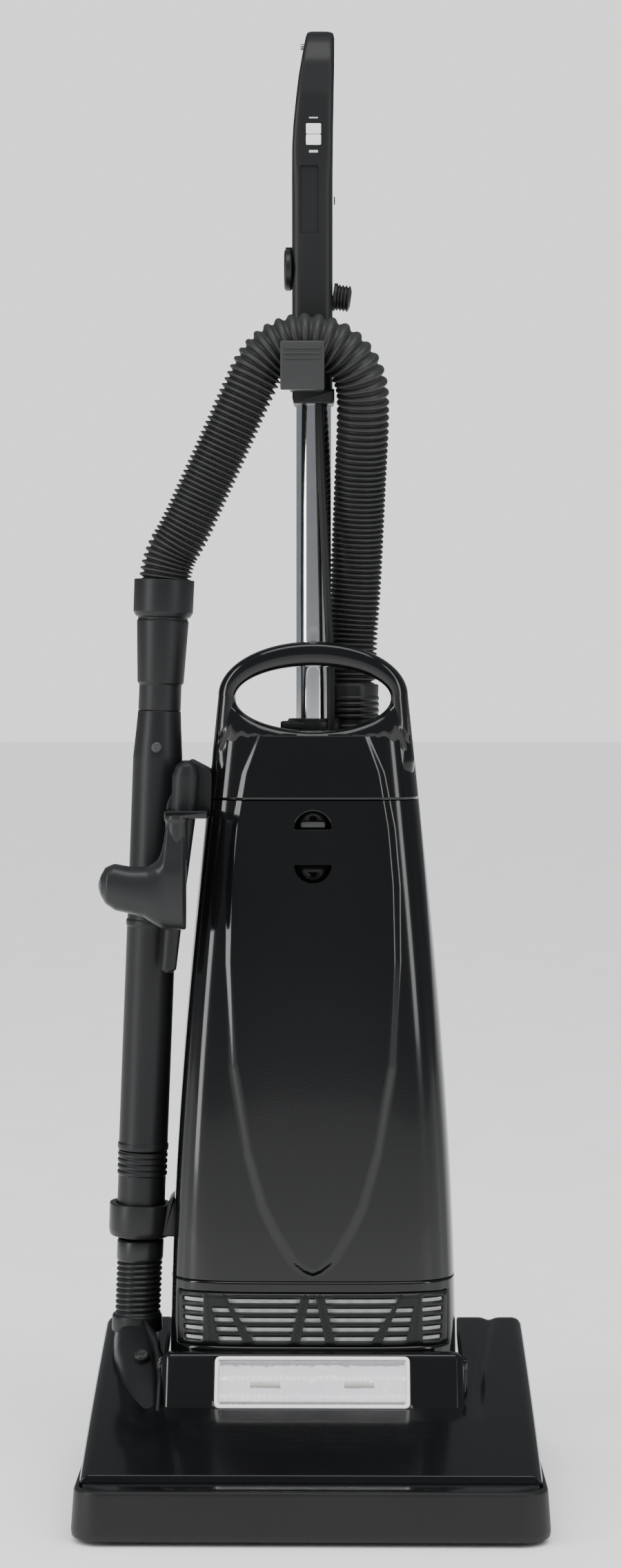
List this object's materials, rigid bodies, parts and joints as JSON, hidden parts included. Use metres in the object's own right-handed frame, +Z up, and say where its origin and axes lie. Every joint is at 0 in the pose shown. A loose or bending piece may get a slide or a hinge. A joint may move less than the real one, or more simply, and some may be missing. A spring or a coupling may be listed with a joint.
{
  "type": "upright vacuum cleaner",
  "caption": "Upright vacuum cleaner with a wide floor nozzle, reclining tapered bag housing, chrome handle tube, corrugated suction hose, wand and tools on board.",
  "frame": {"origin": "on the floor under the middle of the machine", "axes": "+Z up, the front of the nozzle faces -Y, +X to the right seen from the front"},
  "size_m": [0.363, 0.33, 1.182],
  "materials": {
    "gloss_black": "high-gloss moulded ABS",
    "satin_black": "satin moulded plastic",
    "satin_grey": "satin dark grey plastic",
    "bumper_rubber": "soft black rubber",
    "tyre_rubber": "soft tread rubber",
    "hose_plastic": "corrugated charcoal vinyl",
    "lead_rubber": "vinyl-jacketed lead",
    "steel": "pressed and turned steel",
    "alloy": "pressed aluminium",
    "chrome_tube": "polished chrome plating",
    "reflector": "vacuum-metallised reflector",
    "clear_lens": "clear moulded lens",
    "bulb_glass": "small glass bulbs",
    "white_plastic": "white moulded plastic",
    "roll_wood": "turned hardwood roll",
    "bristle": "nylon bristle",
    "copper_coil": "enamelled copper winding",
    "filter_foam": "open-cell filter foam",
    "filter_paper": "filter paper"
  },
  "bodies": {
    "floor_nozzle": {"nozzle_hood": "gloss_black", "bumper_strip": "bumper_rubber", "chassis": "satin_black", "sole_plate": "steel", "glide_runners": "white_plastic", "brush_bearings": "satin_black", "drive_belt": "bumper_rubber", "headlight_lens": "clear_lens", "headlight_reflector": "reflector", "headlight_bulbs": "bulb_glass", "duct_elbow": "satin_grey", "pivot_pins": "steel", "wheel_axles": "steel", "lower_hose": "hose_plastic"},
    "brush": {"brush_roll": "roll_wood", "brush_bristles": "bristle"},
    "wheel_left": {"rear_wheel_left": "satin_black", "rear_tyre_left": "tyre_rubber"},
    "wheel_right": {"rear_wheel_right": "satin_black", "rear_tyre_right": "tyre_rubber"},
    "pedal": {"release_pedal": "satin_grey"},
    "canister": {"canister_shell": "gloss_black", "top_cap": "gloss_black", "motor_housing": "satin_black", "motor_field": "copper_coil", "motor_mounts": "bumper_rubber", "motor_bearings": "steel", "pre_filter": "filter_foam", "exhaust_filter": "filter_paper", "dust_bag": "filter_paper", "handle_tube": "chrome_tube", "tube_knob": "satin_black", "tube_band": "satin_black", "handle_left": "satin_black", "handle_right": "satin_black", "handle_screws": "steel", "handle_collar": "satin_black", "hose_rest": "satin_grey", "cord_gland": "satin_black", "lower_cord_hook": "satin_black", "hose_port": "satin_black", "suction_hose": "hose_plastic", "handle_lead": "lead_rubber", "wand_clip": "satin_grey", "wand_socket": "satin_black", "tool_holder": "satin_black"},
    "rotor": {"motor_armature": "steel", "motor_pulley": "steel", "motor_fan": "alloy"},
    "door": {"bag_door": "gloss_black", "door_seal": "bumper_rubber"},
    "latch": {"door_latch": "satin_grey"},
    "grille": {"filter_grille": "satin_black"},
    "switch": {"power_switch": "white_plastic"},
    "cord_hook": {"upper_cord_hook": "satin_black"},
    "wand": {"wand_tube": "satin_black", "wand_grip": "satin_black", "wand_button": "satin_grey"},
    "upholstery": {"upholstery_tool": "satin_grey"},
    "crevice": {"crevice_tool": "satin_black"}
  },
  "joints": [
    {"name": "recline", "type": "hinge", "parent": "floor_nozzle", "child": "canister", "pos_m": [0, 0.06, 0.078], "axis": [-1, 0, 0], "range_deg": [0, 68], "deforming": ["lower_hose"]},
    {"name": "brush_spin", "type": "hinge", "parent": "floor_nozzle", "child": "brush", "pos_m": [0, -0.1, 0.024], "axis": [1, 0, 0], "continuous": true},
    {"name": "wheel_left_spin", "type": "hinge", "parent": "floor_nozzle", "child": "wheel_left", "pos_m": [-0.147, 0.133, 0.032], "axis": [1, 0, 0], "continuous": true},
    {"name": "wheel_right_spin", "type": "hinge", "parent": "floor_nozzle", "child": "wheel_right", "pos_m": [0.147, 0.133, 0.032], "axis": [1, 0, 0], "continuous": true},
    {"name": "pedal_press", "type": "hinge", "parent": "floor_nozzle", "child": "pedal", "pos_m": [0.147, 0.112, 0.08], "axis": [-1, 0, 0], "range_deg": [0, 10], "stiffness_Nm_per_rad": 2, "springref_deg": -5.73},
    {"name": "motor_spin", "type": "hinge", "parent": "canister", "child": "rotor", "pos_m": [0, 0.06, 0.078], "axis": [1, 0, 0], "continuous": true},
    {"name": "door_swing", "type": "hinge", "parent": "canister", "child": "door", "pos_m": [0, 0.009, 0.168], "axis": [1, 0, 0], "range_deg": [0, 75]},
    {"name": "latch_slide", "type": "slide", "parent": "door", "child": "latch", "axis": [0, 0, 1], "range_m": [0, 0.004], "stiffness_N_per_m": 300, "springref_m": -0.003},
    {"name": "grille_pull", "type": "slide", "parent": "canister", "child": "grille", "axis": [0, -1, 0], "range_m": [0, 0.03]},
    {"name": "switch_rock", "type": "hinge", "parent": "canister", "child": "switch", "pos_m": [0, 0.0845, 1.0931], "axis": [1, 0, 0], "range_deg": [0, 5]},
    {"name": "cord_hook_swivel", "type": "hinge", "parent": "canister", "child": "cord_hook", "pos_m": [-0.0209, 0.095, 0.985], "axis": [-1, 0, 0], "range_deg": [0, 180]},
    {"name": "wand_lift", "type": "slide", "parent": "canister", "child": "wand", "axis": [0.0394, 0, 0.9992], "range_m": [0, 0.045], "deforming": ["suction_hose"]},
    {"name": "upholstery_pull", "type": "slide", "parent": "canister", "child": "upholstery", "axis": [0, 0, -1], "range_m": [0, 0.03]},
    {"name": "crevice_pull", "type": "slide", "parent": "canister", "child": "crevice", "axis": [0, 0, 1], "range_m": [0, 0.06]}
  ],
  "couplings": [
    {"joint": "brush_spin", "follows": "motor_spin", "ratio": 0.6748}
  ]
}
